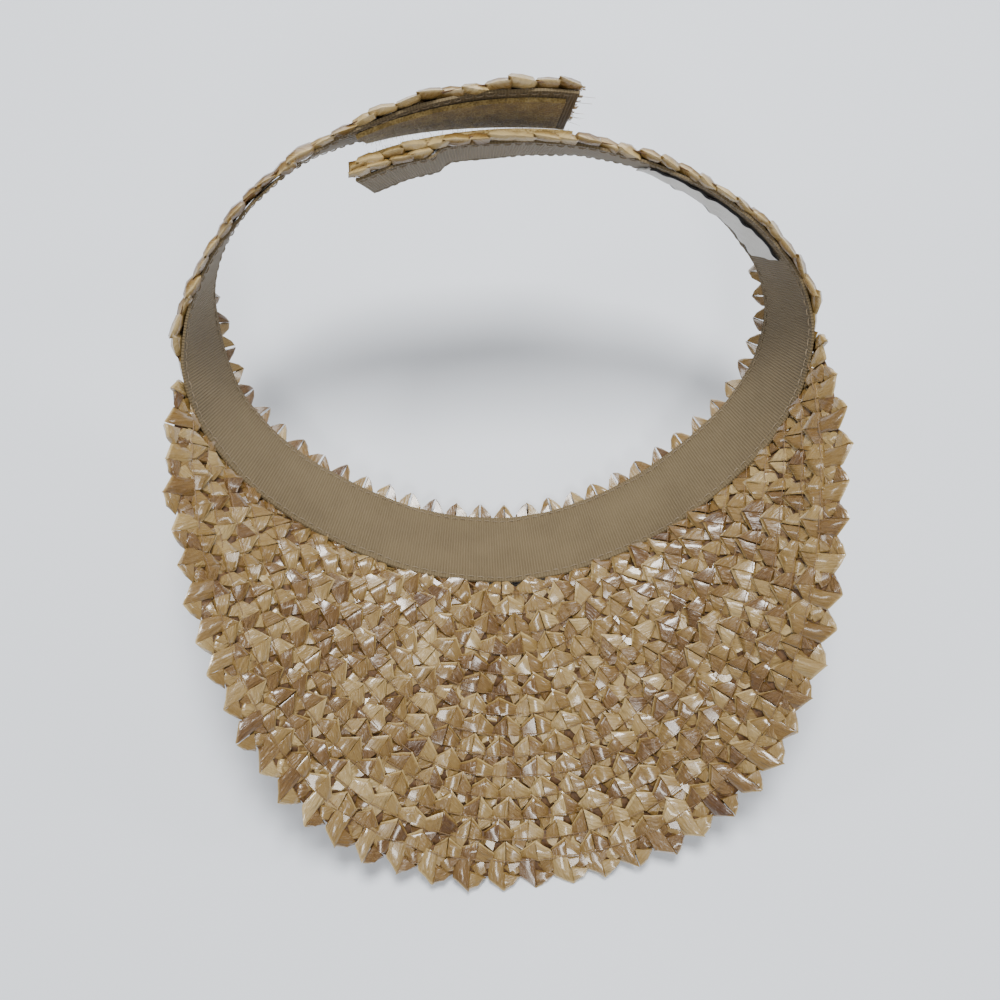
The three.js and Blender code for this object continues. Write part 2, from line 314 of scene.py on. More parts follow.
# Along the crown edge the peaks stand apart
crownPeak = {
    **peak, "pitch": 9.6, "puff": 0.3, "stray": 0.3, "seed": 29,
    "facets": (
        {"corners": ((-0.05, -0.7), (-0.05, 6.4), (-4.5, 1.3), (-4.4, -0.9)),
         "heights": (0.55, 0.6, 0.2, 0.1), "hems": (0.3, 0.6, 0.4, 0.9), "grain": 0, "cells": 4},
        {"corners": ((0.1, -0.7), (0.05, 6.4), (4.5, 1.1), (4.3, -0.8)),
         "heights": (0.7, 0.75, 0.3, 0.3), "hems": (0.35, 0.6, 0.4, 0.9), "grain": 56, "cells": 4},
    ),
}
# The plait's other face: houses that point to the free edge
underPeak = {**peak, "facets": peak["facets"][:2], "seed": 13}


def foldFacet(fold, facet, number, bothSides, rng, shape):
    corner = np.array(facet["corners"]) + rng.uniform(-fold["stray"], fold["stray"], (4, 2))
    height = np.array(facet["heights"]) + rng.uniform(-fold["lift"], fold["lift"], 4)
    sides = np.linalg.norm(np.roll(corner, -1, axis=0) - corner, axis=1)
    wide, tall = (sides[1] + sides[3]) / 2, (sides[0] + sides[2]) / 2
    hems, cells = facet["hems"], facet["cells"]
    across = [0, *np.linspace(hems[0] / wide, 1 - hems[1] / wide, cells - 1), 1]
    up = [0, *np.linspace(hems[2] / tall, 1 - hems[3] / tall, cells - 1), 1]
    c, s = math.cos(facet["grain"] * degree), math.sin(facet["grain"] * degree)
    index = {}

    def blend(values, u, v):
        return (values[0] * (1 - u) + values[3] * u) * (1 - v) + (values[1] * (1 - u) + values[2] * u) * v

    def place(key, x, y, z):
        index[key] = len(shape["verts"])
        shape["verts"].append((x, y, z))
        # Points on the facet's top edge carry the hem mark, where the straw gets its painted highlight
        shape["hems"].append(float(key[1] == cells))
        shape["charts"].append((x * c + y * s, y * c - x * s, number))

    for i, u in enumerate(across):
        for j, v in enumerate(up):
            x, y = blend(corner, u, v) + rng.uniform(-fold["crumple"], fold["crumple"], 2)
            level = blend(height, u, v) + rng.uniform(-fold["crumple"], fold["crumple"])
            if i in (0, cells) or j in (0, cells):
                onCrease = i == 0 and j not in (0, cells)
                place((i, j, 0), x, y, level - fold["drop"] * (fold["crease"] if onCrease else 1))
                index[i, j, 1] = index[i, j, 0]
            else:
                puff = fold["puff"] * math.sin(math.pi * u) * math.sin(math.pi * v)
                place((i, j, 0), x, y, level + puff)
                if bothSides:
                    place((i, j, 1), x, y, level - 2 * fold["drop"] - puff)
    turned = np.cross(corner[1] - corner[0], corner[2] - corner[0]) < 0
    for i in range(cells):
        for j in range(cells):
            for side in ((0, 1) if bothSides else (0,)):
                loop = [(i, j, side), (i, j + 1, side), (i + 1, j + 1, side), (i + 1, j, side)]
                cell = [index[key] for key in loop]
                shape["faces"].append(cell[::-1] if turned != bool(side) else cell)
    if not bothSides:
        loop = [(i, 0, 0) for i in range(cells)] + [(cells, j, 0) for j in range(cells)]
        loop += [(i, cells, 0) for i in range(cells, 0, -1)] + [(0, j, 0) for j in range(cells, 0, -1)]
        cell = [index[key] for key in loop]
        shape["faces"].append(cell[::-1] if turned else cell)


foldSharpness = 47 * degree


def addShape(name, verts, faces, group, charts=None, hems=None):
    mesh = bpy.data.meshes.new(name)
    mesh.from_pydata([tuple(value * mm for value in v) for v in verts], [], faces)
    mesh.polygons.foreach_set("use_smooth", [True] * len(mesh.polygons))
    if charts:
        chart = mesh.attributes.new("strandUV", "FLOAT_VECTOR", "POINT")
        chart.data.foreach_set("vector", np.array(charts, dtype=np.float32).reshape(-1))
        # The hem mark per point, for the straw's painted highlight along each facet's top edge
        hemHighlight = mesh.attributes.new("strandHemHighlight", "FLOAT", "POINT")
        hemHighlight.data.foreach_set("value", hems or [0.0] * len(verts))
    mesh.set_sharp_from_angle(angle=foldSharpness)
    group.objects.link(bpy.data.objects.new(name, mesh))


def newGroup(name):
    group = bpy.data.collections.new(name)
    bpy.context.scene.collection.children.link(group)
    return group


# A few variants of one fold; an under fold is turned over, below the plait
def makeFolds(name, fold, bothSides, under=0):
    group = newGroup(name)
    for variant in range(fold["variants"]):
        rng = np.random.default_rng(fold["seed"] + variant)
        shape = {"verts": [], "charts": [], "hems": [], "faces": []}
        for number, facet in enumerate(fold["facets"]):
            foldFacet(fold, facet, number, bothSides, rng, shape)
        verts = shape["verts"]
        if under:
            verts = [(x, -y, -z - under) for x, y, z in verts]
        addShape("%s%d" % (name, variant), verts, shape["faces"], group, shape["charts"], shape["hems"])
    return group


# A thin bar along x with the given heights above its line, for stitches and loose strands
def makeBar(name, group, xs, heights, radii, sides=4, charts=False):
    verts = []
    faces = []
    for x, height, radius in zip(xs, heights, radii):
        for k in range(sides):
            turn = 2 * math.pi * k / sides
            verts.append((x, radius * math.cos(turn), height + radius * math.sin(turn)))
    for i in range(len(xs) - 1):
        for k in range(sides):
            a, b = i * sides + k, i * sides + (k + 1) % sides
            faces.append((a, b, b + sides, a + sides))
    faces.append(tuple(range(sides - 1, -1, -1)))
    faces.append(tuple(range(len(verts) - sides, len(verts))))
    addShape(name, verts, faces, group, [(y * 3, x, 7) for x, y, z in verts] if charts else None)


peaks = makeFolds("peakFold", peak, False)
doublePeaks = makeFolds("doublePeakFold", peak, True)
unders = makeFolds("underFold", underPeak, False, under=1.0)
picots = makeFolds("picotFold", picot, True)
leaves = makeFolds("leafFold", leaf, True)
crownPeaks = makeFolds("crownPeakFold", crownPeak, True)
stitch = {"pitch": 7.6, "length": 7.4, "radius": 0.13, "low": 0.2, "high": 1.05}
stitches = newGroup("stitchBar")
alongStitch = np.linspace(-1, 1, 6)
makeBar("stitchBar", stitches, alongStitch * stitch["length"] / 2,
        stitch["low"] + (stitch["high"] - stitch["low"]) * (1 - alongStitch ** 4),
        np.full_like(alongStitch, stitch["radius"]))

# Loose ends of strands where the strap is cut
wisp = {
    "lengths": (1.4, 1.9, 2.4, 3.0, 6.0), "radii": (0.7, 0.6, 0.5, 0.4, 0.09), "spacing": 1.1, "turn": 0.35,
}
wisps = newGroup("strandEnd")
for number, (length, radius) in enumerate(zip(wisp["lengths"], wisp["radii"])):
    part = np.linspace(0.25, -1, 4)
    makeBar("strandEnd%d" % number, wisps, part * length, 0.4 * part ** 2, radius * (1 + 0.35 * part),
            charts=True)


# Plaits laid out straight on the bench, then wrapped round the form. The kind of each guide line says
# what goes along it.
kinds = {"peak": 0, "picot": 1, "under": 2, "stitch": 3, "strand": 4, "strip": 5}


def plaitTree():
    tree = bpy.data.node_groups.new("plaitRows", "GeometryNodeTree")
    sockets = [("Lines", "Geometry"), ("Seed", "Int"), ("Wander", "Float"), ("Straw", "Material"),
               ("Shade", "Material"), ("Thread", "Material"), ("Strip Width", "Float"),
               ("Strip Thickness", "Float"), ("Strip Place", "Vector")]
    for name in ("Peak", "Picot", "Under", "Stitch", "Strand"):
        sockets += [(name, "Collection"), (name + " Pitch", "Float"), (name + " Turn", "Vector"),
                    (name + " Slant", "Vector")]
    for name, kind in sockets:
        tree.interface.new_socket(name, in_out="INPUT", socket_type="NodeSocket" + kind)
    tree.interface.new_socket("Plaits", in_out="OUTPUT", socket_type="NodeSocketGeometry")
    make = nodeMaker(tree)
    given = make("NodeGroupInput").outputs
    marked = make("GeometryNodeInputNamedAttribute", {"Name": "lineKind"}, data_type="FLOAT")
    straws = make("GeometryNodeJoinGeometry")
    everything = make("GeometryNodeJoinGeometry")

    def linesOf(kind, length):
        test = make("FunctionNodeCompare", {0: marked.outputs[0], 1: float(kinds[kind]), "Epsilon": 0.3},
                    data_type="FLOAT", operation="EQUAL")
        curves = make("GeometryNodeMeshToCurve", {"Mesh": given["Lines"], "Selection": test.outputs[0]})
        return make("GeometryNodeResampleCurve", {"Curve": curves.outputs[0], "Length": length},
                    mode="LENGTH")

    def scatter(name, seedStep):
        evened = linesOf(name.lower(), given[name + " Pitch"])
        spline = make("GeometryNodeSplineLength")
        gaps = mathOf(make, "SUBTRACT", spline.outputs["Point Count"], 1.0)
        step = mathOf(make, "DIVIDE", spline.outputs["Length"], gaps)
        wide = mathOf(make, "DIVIDE", step, given[name + " Pitch"])
        seed = mathOf(make, "ADD", given["Seed"], float(seedStep))
        least = make("ShaderNodeVectorMath", {0: given[name + " Turn"], "Scale": -1.0}, operation="SCALE")
        turn = make("FunctionNodeRandomValue", {0: least.outputs[0], 1: given[name + " Turn"], "Seed": seed},
                    data_type="FLOAT_VECTOR")
        slanted = make("ShaderNodeVectorMath", {0: turn.outputs[0], 1: given[name + " Slant"]},
                       operation="ADD")
        grow = make("FunctionNodeRandomValue", {0: (0.9, 0.9, 0.8), 1: (1.14, 1.1, 1.3), "Seed": seed},
                    data_type="FLOAT_VECTOR")
        fit = make("ShaderNodeCombineXYZ", {"X": wide, "Y": 1.0, "Z": 1.0})
        size = make("ShaderNodeVectorMath", {0: grow.outputs[0], 1: fit.outputs[0]}, operation="MULTIPLY")
        source = make("GeometryNodeCollectionInfo", {"Collection": given[name], "Separate Children": True,
                                                     "Reset Children": True})
        pick = make("FunctionNodeRandomValue", {4: 0, 5: 99, "Seed": seed}, data_type="INT")
        placed = make("GeometryNodeInstanceOnPoints", {
            "Points": evened.outputs[0], "Instance": source.outputs[0], "Pick Instance": True,
            "Instance Index": pick.outputs[2], "Rotation": slanted.outputs[0], "Scale": size.outputs[0]})
        tone = make("FunctionNodeRandomValue", {"Seed": seed}, data_type="FLOAT")
        toned = make("GeometryNodeStoreNamedAttribute", {"Geometry": placed.outputs[0], "Name": "strandTone",
                                                         "Value": tone.outputs[1]},
                     data_type="FLOAT", domain="INSTANCE")
        return toned.outputs[0]

    for number, name in enumerate(("Peak", "Picot", "Under", "Strand")):
        tree.links.new(scatter(name, 17 * number), straws.inputs[0])
    realStraw = make("GeometryNodeRealizeInstances", {"Geometry": straws.outputs[0]})
    noise = make("ShaderNodeTexNoise", {"Scale": 330.0, "Detail": 1.0})
    centred = make("ShaderNodeVectorMath", {0: noise.outputs["Color"], 1: (0.5, 0.5, 0.5)},
                   operation="SUBTRACT")
    nudge = make("ShaderNodeVectorMath", {0: centred.outputs[0], "Scale": given["Wander"]}, operation="SCALE")
    moved = make("GeometryNodeSetPosition", {"Geometry": realStraw.outputs[0], "Offset": nudge.outputs[0]})
    realThread = make("GeometryNodeRealizeInstances", {"Geometry": scatter("Stitch", 71)})
    # A thin strip under each row of folds, in the shaded straw: a dark sheet of painted shade that fills the
    # gaps between them
    section = make("GeometryNodeCurvePrimitiveQuadrilateral", {"Width": given["Strip Width"],
                                                               "Height": given["Strip Thickness"]})
    rounded = make("GeometryNodeSubdivideCurve", {"Curve": section.outputs[0], "Cuts": 1})
    long = linesOf("strip", 0.004)
    strip = make("GeometryNodeCurveToMesh", {"Curve": long.outputs[0], "Profile Curve": rounded.outputs[0],
                                             "Fill Caps": True})
    lowered = make("GeometryNodeSetPosition", {"Geometry": strip.outputs[0], "Offset": given["Strip Place"]})
    for shape, material in ((moved, "Straw"), (lowered, "Shade"), (realThread, "Thread")):
        finished = make("GeometryNodeSetMaterial", {"Geometry": shape.outputs[0],
                                                    "Material": given[material]})
        tree.links.new(finished.outputs[0], everything.inputs[0])
    make("NodeGroupOutput", {0: everything.outputs[0]})
    return tree


# Runs a tree over a guide mesh and keeps the result as a plain mesh
def growMesh(name, guide, tree, inputs):
    maker = bpy.data.objects.new(name + "Guide", guide)
    bpy.context.scene.collection.objects.link(maker)
    modifier = maker.modifiers.new(name, "NODES")
    modifier.node_group = tree
    for item in tree.interface.items_tree:
        if item.in_out == "INPUT" and item.name in inputs:
            modifier[item.identifier] = inputs[item.name]
    graph = bpy.context.evaluated_depsgraph_get()
    made = bpy.data.meshes.new_from_object(maker.evaluated_get(graph), depsgraph=graph)
    made.name = name
    maker.modifiers.clear()
    bpy.data.objects.remove(maker)
    bpy.data.meshes.remove(guide)
    return made


def getPoints(mesh):
    flat = np.empty(len(mesh.vertices) * 3)
    mesh.vertices.foreach_get("co", flat)
    return flat.reshape(-1, 3) / mm


def setPoints(mesh, points):
    mesh.vertices.foreach_set("co", points.reshape(-1))
    mesh.update()


def addPiece(name, mesh, slot, *nodes):
    piece = bpy.data.objects.new(name, mesh)
    bpy.context.scene.collection.objects.link(piece)
    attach(piece, "root")
    if nodes:
        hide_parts(*nodes)
    return piece


plaits = plaitTree()
benchGap = 60  # mm between the plaits on the bench


# Guide lines on the bench, each (start, end, row, kind). A line of strands goes across its row: it has
# the place along the row and half the line's length instead.
def layPlaits(name, lines, inputs):
    guide = bpy.data.meshes.new(name + "Guide")
    ends = []
    marks = []
    for start, end, row, kind in lines:
        if kind == "strand":
            ends += [(start, row * benchGap - end, 0), (start, row * benchGap + end, 0)]
        else:
            ends += [(start, row * benchGap, 0), (end, row * benchGap, 0)]
        marks += [float(kinds[kind])] * 2
    pairs = [(2 * i, 2 * i + 1) for i in range(len(lines))]
    guide.from_pydata([tuple(value * mm for value in v) for v in ends], pairs, [])
    guide.attributes.new("lineKind", "FLOAT", "POINT").data.foreach_set("value", marks)
    mesh = growMesh(name, guide, plaits, {
        "Peak": peaks, "Picot": picots, "Under": unders, "Stitch": stitches, "Strand": wisps,
        "Peak Pitch": peak["pitch"] * mm, "Picot Pitch": picot["pitch"] * mm,
        "Under Pitch": peak["pitch"] * mm,
        "Stitch Pitch": stitch["pitch"] * mm, "Strand Pitch": wisp["spacing"] * mm,
        "Peak Turn": (0.13, 0.14, 0.1), "Picot Turn": (0.07, 0.08, 0.06), "Under Turn": (0.1, 0.1, 0.08),
        "Stitch Turn": (0.0, 0.0, 0.09), "Strand Turn": (0.3, wisp["turn"], wisp["turn"]),
        "Wander": 0.0007, "Straw": goldenStraw, "Shade": shadedStraw, "Thread": tanThread,
        "Strip Width": 8 * mm, "Strip Thickness": 0.3 * mm,
        "Strip Place": (0.0, -1.6 * mm, -0.85 * mm), **inputs})
    points = getPoints(mesh)
    row = np.rint(points[:, 1] / benchGap).astype(int)
    return mesh, points[:, 0], points[:, 1] - row * benchGap, points[:, 2], row


# Brim
brim = {
    "length": 105, "hornAngle": 92 * degree, "hornRun": 1.3, "hornFall": 1.16, "frontRound": 0.15,
    "frontSlope": 30 * degree, "sideSlope": 70 * degree, "seamGap": 0.3, "seamDepth": 1.3,
    "rowPitch": 7, "pointCount": 46, "pointHeight": 4, "land": 2.5,
    "shingle": 0.155, "settle": 0.2, "under": 1.6, "runUnder": -5, "lowest": -6, "seed": 11,
}


def brimReach(angle):
    def rounded(share):
        return np.hypot(share, brim["frontRound"]) - brim["frontRound"]
    share = rounded(np.minimum(np.abs(angle) / brim["hornAngle"], 1)) / rounded(1)
    return brim["length"] * (1 - share ** brim["hornRun"]) ** brim["hornFall"]


def brimSurface(angle, out, rise):
    slope = brim["frontSlope"] + (brim["sideSlope"] - brim["frontSlope"]) * np.sin(angle) ** 2
    normal = ringOutward(angle)
    seam = ring["wallHeight"] + brim["seamGap"]
    onBrim = wallPoint(angle, np.full_like(angle, seam), np.full_like(angle, brim["seamDepth"]))
    onBrim = onBrim + upright(normal, np.cos(slope), np.sin(slope)) * out[..., None]
    onBrim = onBrim + upright(normal, -np.sin(slope), np.cos(slope)) * rise[..., None]
    tuck = brim["under"] * smooth(0.5, -3.0, out)
    onWall = wallPoint(angle, seam + out, brim["seamDepth"] - rise + tuck)
    share = smooth(-2.0, 2.0, out)[..., None]
    return onWall * (1 - share) + onBrim * share


def edgeSlant(angle):
    step = 1e-3
    zero = np.zeros_like(angle)
    seam = brimSurface(angle + step, zero, zero) - brimSurface(angle - step, zero, zero)
    change = brimReach(angle + step) - brimReach(angle - step)
    return np.hypot(1, change / np.linalg.norm(seam, axis=-1))


def hornEnd():
    angles = np.linspace(0.5, 1, 400) * brim["hornAngle"]
    valley = brimReach(angles) - brim["pointHeight"] * edgeSlant(angles)
    return angles[np.nonzero(valley > brim["land"])[0][-1]]


# The line of one plait on the brim, with the way inwards square to it at each place
def brimRow(inset):
    angles = np.linspace(-1, 1, 801) * hornEnd()
    out = brimReach(angles) - inset * edgeSlant(angles)
    keep = out > brim["runUnder"] - (picot["tip"] if inset == picot["tip"] else 0)
    angles, out = angles[keep], out[keep]
    zero = np.zeros_like(angles)
    line = brimSurface(angles, out, zero)
    along = np.gradient(line, axis=0)
    along /= np.linalg.norm(along, axis=-1, keepdims=True)
    step = 1e-3
    byAngle = (brimSurface(angles + step, out, zero) - brimSurface(angles - step, out, zero)) / (2 * step)
    byOut = (brimSurface(angles, out + 0.1, zero) - brimSurface(angles, out - 0.1, zero)) / 0.2
    turn = np.sum(byOut * along, -1)
    fall = -np.sum(byAngle * along, -1)
    size = np.linalg.norm(byAngle * turn[:, None] + byOut * fall[:, None], axis=-1)
    return {"angle": angles, "out": out, "length": arcLengths(line), "turn": turn / size, "fall": fall / size}


def wrapBrim(rows, x, y, z, row):
    placed = np.empty((len(x), 3))
    for k, line in enumerate(rows):
        here = row == k
        at = {key: np.interp(x[here], line["length"], line[key]) for key in ("angle", "out", "turn", "fall")}
        angle = at["angle"] + at["turn"] * y[here]
        out = at["out"] + at["fall"] * y[here]
        rise = brim["settle"] + brim["shingle"] * np.maximum(y[here], brim["lowest"]) + z[here]
        placed[here] = brimSurface(angle, out, rise)
    return placed


def makeBrim():
    insets = np.arange(picot["tip"], brim["length"] + 2, brim["rowPitch"])
    rows = [brimRow(inset) for inset in insets]
    lines = []
    for k, line in enumerate(rows):
        total = line["length"][-1]
        begin = peak["pitch"] * (k * 0.618 % 1)
        lines += [(0, total, k, "strip"), (stitch["pitch"] * (k * 0.41 % 1), total, k, "stitch"),
                  (begin, total, k, "peak")]
        if k == 0:
            step = total / brim["pointCount"]
            lines.append((step / 2, total - step / 2, k, "picot"))
        else:
            lines.append((begin * 0.7, total, k, "under"))
    mesh, *flat = layPlaits("brimPlait", lines, {"Seed": brim["seed"]})
    setPoints(mesh, toFloor(wrapBrim(rows, *flat)))
    mesh.calc_loop_triangles()
    edge = rows[0]["length"][-1]
    print("brim: %d plaits, %d triangles, edge %.0f mm" % (len(rows), len(mesh.loop_triangles), edge))
    addPiece("brimPlait", mesh, "straw", "brim")


makeBrim()

# Headband: plaits round the ring, with peaks at the crown edge and picots on the strap's free edge
band = {
    "rows": 5, "crownHeight": 0.3, "strapHeight": 28.6, "brimHeight": 23.5, "depth": 2.1, "thin": 0.7,
    "shingle": 0.03, "curl": 3.6, "lowest": -6.2, "nearest": 1.05, "plump": 1.0, "plumpDepth": 0.7,
    "slant": 0.03, "foldRadius": 1.1, "foldLength": 23, "overrun": 6 * degree, "seed": 23,
    "horn": 88 * degree, "freeFrom": 86 * degree, "freeBy": 97 * degree,
    "hide": 7, "hideFrom": 98 * degree, "hideBy": 112 * degree,  # crown points drawn up behind the ribbon
    "foldShort": 6, "leafShort": 5, "leafOver": 2.5, "foldDepth": 2.4, "steps": 1601,
}
bandAngles = np.linspace(-strapLeft["end"] - band["overrun"], strapRight["end"], band["steps"])
midHeight = np.full_like(bandAngles, ring["wallHeight"] / 2)
bandLengths = arcLengths(wallPoint(bandAngles, midHeight, np.zeros_like(bandAngles)))
bandLengths -= np.interp(-strapLeft["end"], bandAngles, bandLengths)
bandTotal = float(bandLengths[-1])


# Past the right end the strap folds back inside itself
def wrapBand(x, height, depth):
    radius = band["foldRadius"]
    past = x - bandTotal
    swing = np.clip(past / radius, 0, math.pi)
    back = np.maximum(past - math.pi * radius, 0)
    angle = np.interp(np.minimum(x, bandTotal) - back, bandLengths, bandAngles)
    around = wallPoint(angle, height, depth * np.cos(swing) + (1 - np.cos(swing)) * (band["depth"] - radius))
    last = wallPoint(np.full_like(x, bandAngles[-1]), height, depth)
    before = wallPoint(np.full_like(x, bandAngles[-2]), height, depth)
    along = (last - before) / np.linalg.norm(last - before, axis=-1, keepdims=True)
    bulge = np.where(past > 0, np.sin(swing) * (radius + depth - band["depth"]), 0)
    return around + along * bulge[..., None]


def makeBand():
    ends = bandTotal + math.pi * band["foldRadius"] + band["foldLength"]
    last = band["rows"] - 1
    lines = []
    for k in range(band["rows"]):
        begin = peak["pitch"] * (0.3 + k * 0.618 % 1)
        short = ends - band["foldShort"]
        lines += [(0, ends, k, "strip"), (begin, short, k, "stitch"),
                  (begin, short, k, "peak" if k else "under"), (1.0, 4.5, k, "strand")]
    horns = np.interp([-band["horn"], band["horn"]], bandAngles, bandLengths)
    lines += [(leaf["pitch"] / 2, horns[0], last, "picot"),
              (horns[1], ends - band["leafShort"], last, "picot")]
    mesh, x, y, z, row = layPlaits("headbandPlait", lines, {
        "Seed": band["seed"], "Peak": doublePeaks, "Under": crownPeaks, "Picot": leaves,
        "Under Pitch": crownPeak["pitch"] * mm, "Under Turn": (0.1, 0.12, 0.08),
        "Picot Pitch": leaf["pitch"] * mm, "Picot Slant": (0.0, band["slant"], 0.0),
        "Strip Place": (0.0, -3.4 * mm, -0.5 * mm)})
    mesh.flip_normals()
    x = np.minimum(x, ends + band["leafOver"] * (row == last))
    angle = np.abs(np.interp(x, bandLengths, bandAngles))
    free = smooth(band["freeFrom"], band["freeBy"], angle)
    top = band["brimHeight"] + (band["strapHeight"] - band["brimHeight"]) * free
    hidden = smooth(band["hideFrom"], band["hideBy"], angle)
    crown = band["crownHeight"] + band["hide"] * hidden
    centre = crown + (top - crown) * row / last
    edge = free * (row == last) * smooth(0.0, -4.0, y)
    depth = band["depth"] + z * (band["thin"] + (band["plump"] - band["thin"]) * edge)
    depth += band["shingle"] * y * (1 - edge) + band["plumpDepth"] * edge
    height = np.maximum(centre - y, band["lowest"])
    covered = smooth(-0.8, 0.6, height) * smooth(36.5, 35.2, height)  # behind the ribbon
    depth = np.maximum(depth, band["nearest"] * covered - 9 * (1 - covered))
    deepest = band["foldDepth"] + 3 * smooth(34, 36, height)
    depth = np.where(x > bandTotal, np.minimum(depth, deepest), depth)
    depth -= band["curl"] * smooth(1.0, -4.5, height) * (1 - hidden)
    setPoints(mesh, toFloor(wrapBand(x, height, depth)))
    mesh.calc_loop_triangles()
    print("headband: %d triangles" % len(mesh.loop_triangles))
    return addPiece("headbandPlait", mesh, "straw", "headband")


bandPiece = makeBand()


# A closed strip from a grid of inner and outer points, with a UV map in metres along and across
def stripMesh(name, inner, outer, along, across, material):
    columns, rows = inner.shape[:2]
    points = np.concatenate([inner.reshape(-1, 3), outer.reshape(-1, 3)])
    half = columns * rows
    faces = []
    corners = []

    def quad(cells, spots, flip=False):
        faces.append(cells[::-1] if flip else cells)
        corners.extend(spots[::-1] if flip else spots)

    for i in range(columns - 1):
        for j in range(rows - 1):
            a, b, c, d = i * rows + j, (i + 1) * rows + j, (i + 1) * rows + j + 1, i * rows + j + 1
            spots = [(along[i], across[j]), (along[i + 1], across[j]),
                     (along[i + 1], across[j + 1]), (along[i], across[j + 1])]
            quad((a, b, c, d), spots, True)
            quad((half + a, half + b, half + c, half + d), spots)
        for j in (0, rows - 1):
            a, b = i * rows + j, (i + 1) * rows + j
            first, second = (along[i], across[j]), (along[i + 1], across[j])
            quad((a, b, half + b, half + a), [first, second, second, first], j > 0)
    for i in (0, columns - 1):
        for j in range(rows - 1):
            a, b = i * rows + j, i * rows + j + 1
            first, second = (along[i], across[j]), (along[i], across[j + 1])
            quad((a, b, half + b, half + a), [first, second, second, first], i == 0)
    mesh = bpy.data.meshes.new(name)
    mesh.from_pydata([tuple(p) for p in points], [], faces)
    chart = mesh.uv_layers.new(name="clothUV")
    chart.data.foreach_set("uv", np.array(corners, dtype=np.float32).reshape(-1))
    mesh.polygons.foreach_set("use_smooth", [True] * len(mesh.polygons))
    mesh.set_sharp_from_angle(angle=50 * degree)
    mesh.materials.append(material)
    return mesh


# Grosgrain ribbon: fine ribs across its width, a little darker where it is handled
ribbon = {
    "thickness": 0.8, "ribPitch": 0.95, "columns": 520, "rows": 14, "foldRise": 2.2, "pucker": 0.14,
    "colours": [(0.2, (0.076, 0.051, 0.021)), (0.6, (0.114, 0.080, 0.035)), (1.0, (0.158, 0.115, 0.056))],
    "stitch": 2.5, "stitchPitch": 3.2, "stitchRadius": 0.17, "stitchLines": (1.9, 33.0),
    "sheen": {"Sheen Weight": 0.06, "Sheen Roughness": 0.4},
}


def ribbonMaterial():
    material, make, shader, link = newMaterial("beigeGrosgrain", ribbon["sheen"])
    chart = make("ShaderNodeUVMap", uv_map="clothUV")
    ribScale = math.pi / (10 * ribbon["ribPitch"] * mm)
    ribs = make("ShaderNodeTexWave", {"Vector": chart.outputs[0], "Scale": ribScale, "Distortion": 0.6,
                                      "Detail": 1.0, "Detail Scale": 2.0}, bands_direction="X").outputs["Fac"]
    soil = noiseOf(make, 45.0, 5.0, 0.6)
    fuzz = noiseOf(make, 1800.0, 2.0)
    grain = addScaled(make, fuzz, 0.25, addScaled(make, ribs, 0.4, soil))
    link(ramp(make, grain, ribbon["colours"]), shader.inputs["Base Color"])
    height = addScaled(make, fuzz, 0.3, ribs)
    finishSurface(make, shader, link, height, 0.55, 0.00028, soil, 0.7, 0.9)
    return material


# How far the ribbon's face stands in from the wall: over the folded end, and puckered along its edges
def ribbonStand(length, height):
    overFold = 1 - smooth(band["foldLength"] + 0.5, band["foldLength"] + 5.5, bandTotal - length)
    ripple = np.sin(length / 7.3) + 0.8 * np.sin(length / 3.1 + 1.7)
    edge = np.abs(height / ring["wallHeight"] - 0.5) * 2
    return ribbon["foldRise"] * overFold + ribbon["pucker"] * ripple * edge ** 2


def makeRibbon():
    lengths = np.linspace(0, bandTotal, ribbon["columns"])
    heights = np.linspace(0, ring["wallHeight"], ribbon["rows"])
    length, height = np.meshgrid(lengths, heights, indexing="ij")
    angle = np.interp(length, bandLengths, bandAngles)
    stand = ribbonStand(length, height)
    inner = toFloor(wallPoint(angle, height, -stand))
    outer = toFloor(wallPoint(angle, height, ribbon["thickness"] - stand))
    mesh = stripMesh("sweatbandRibbon", inner, outer, lengths * mm, heights * mm, ribbonMaterial())
    piece = addPiece("sweatbandRibbon", mesh, "ribbon", "sweatband_ribbon")
    print("ribbon: %.0f mm long" % bandTotal)
    return piece


def makeRibbonStitches():
    group = newGroup("ribbonStitch")
    makeBar("ribbonStitch", group, alongStitch * ribbon["stitch"] / 2, 0.28 - 0.4 * alongStitch ** 4,
            np.full_like(alongStitch, ribbon["stitchRadius"]))
    lines = [(2 + 1.3 * k, bandTotal - 2, k, "stitch") for k in range(len(ribbon["stitchLines"]))]
    mesh, x, y, z, row = layPlaits("ribbonStitches", lines, {
        "Seed": 31, "Stitch": group, "Stitch Pitch": ribbon["stitchPitch"] * mm, "Thread": beigeThread})
    wander = 0.35 * np.sin(x / 11) + 0.25 * np.sin(x / 4.7 + row)
    height = np.array(ribbon["stitchLines"])[row] - y + wander
    angle = np.interp(x, bandLengths, bandAngles)
    setPoints(mesh, toFloor(wallPoint(angle, height, -ribbonStand(x, height) - z)))
    print("ribbon stitches: %d faces" % len(mesh.polygons))
    addPiece("ribbonStitches", mesh, "ribbon")
    return group


ribbonPiece = makeRibbon()
ribbonStitches = makeRibbonStitches()

# Hook-and-loop tape and the plain woven label
tape = {
    "low": 5, "high": 30, "thickness": 1.4, "hook": (-194, -157), "loop": (164, 203),
    "colours": [(0.25, (0.095, 0.058, 0.014)), (0.7, (0.25, 0.165, 0.046)), (1.0, (0.42, 0.30, 0.11))],
    "pile": [(0.3, (0.15, 0.10, 0.035)), (0.85, (0.42, 0.34, 0.20))], "pileLength": 1.3,
    "density": 0.22e6, "seed": 41,
}
label = {
    "low": 6, "high": 29, "thickness": 0.6, "span": (108, 147), "edge": 0.8, "crease": 0.8,
    "colours": [(0.0, (0.62, 0.61, 0.58)), (1.0, (0.90, 0.89, 0.86))], "border": (0.012, 0.012, 0.013),
}


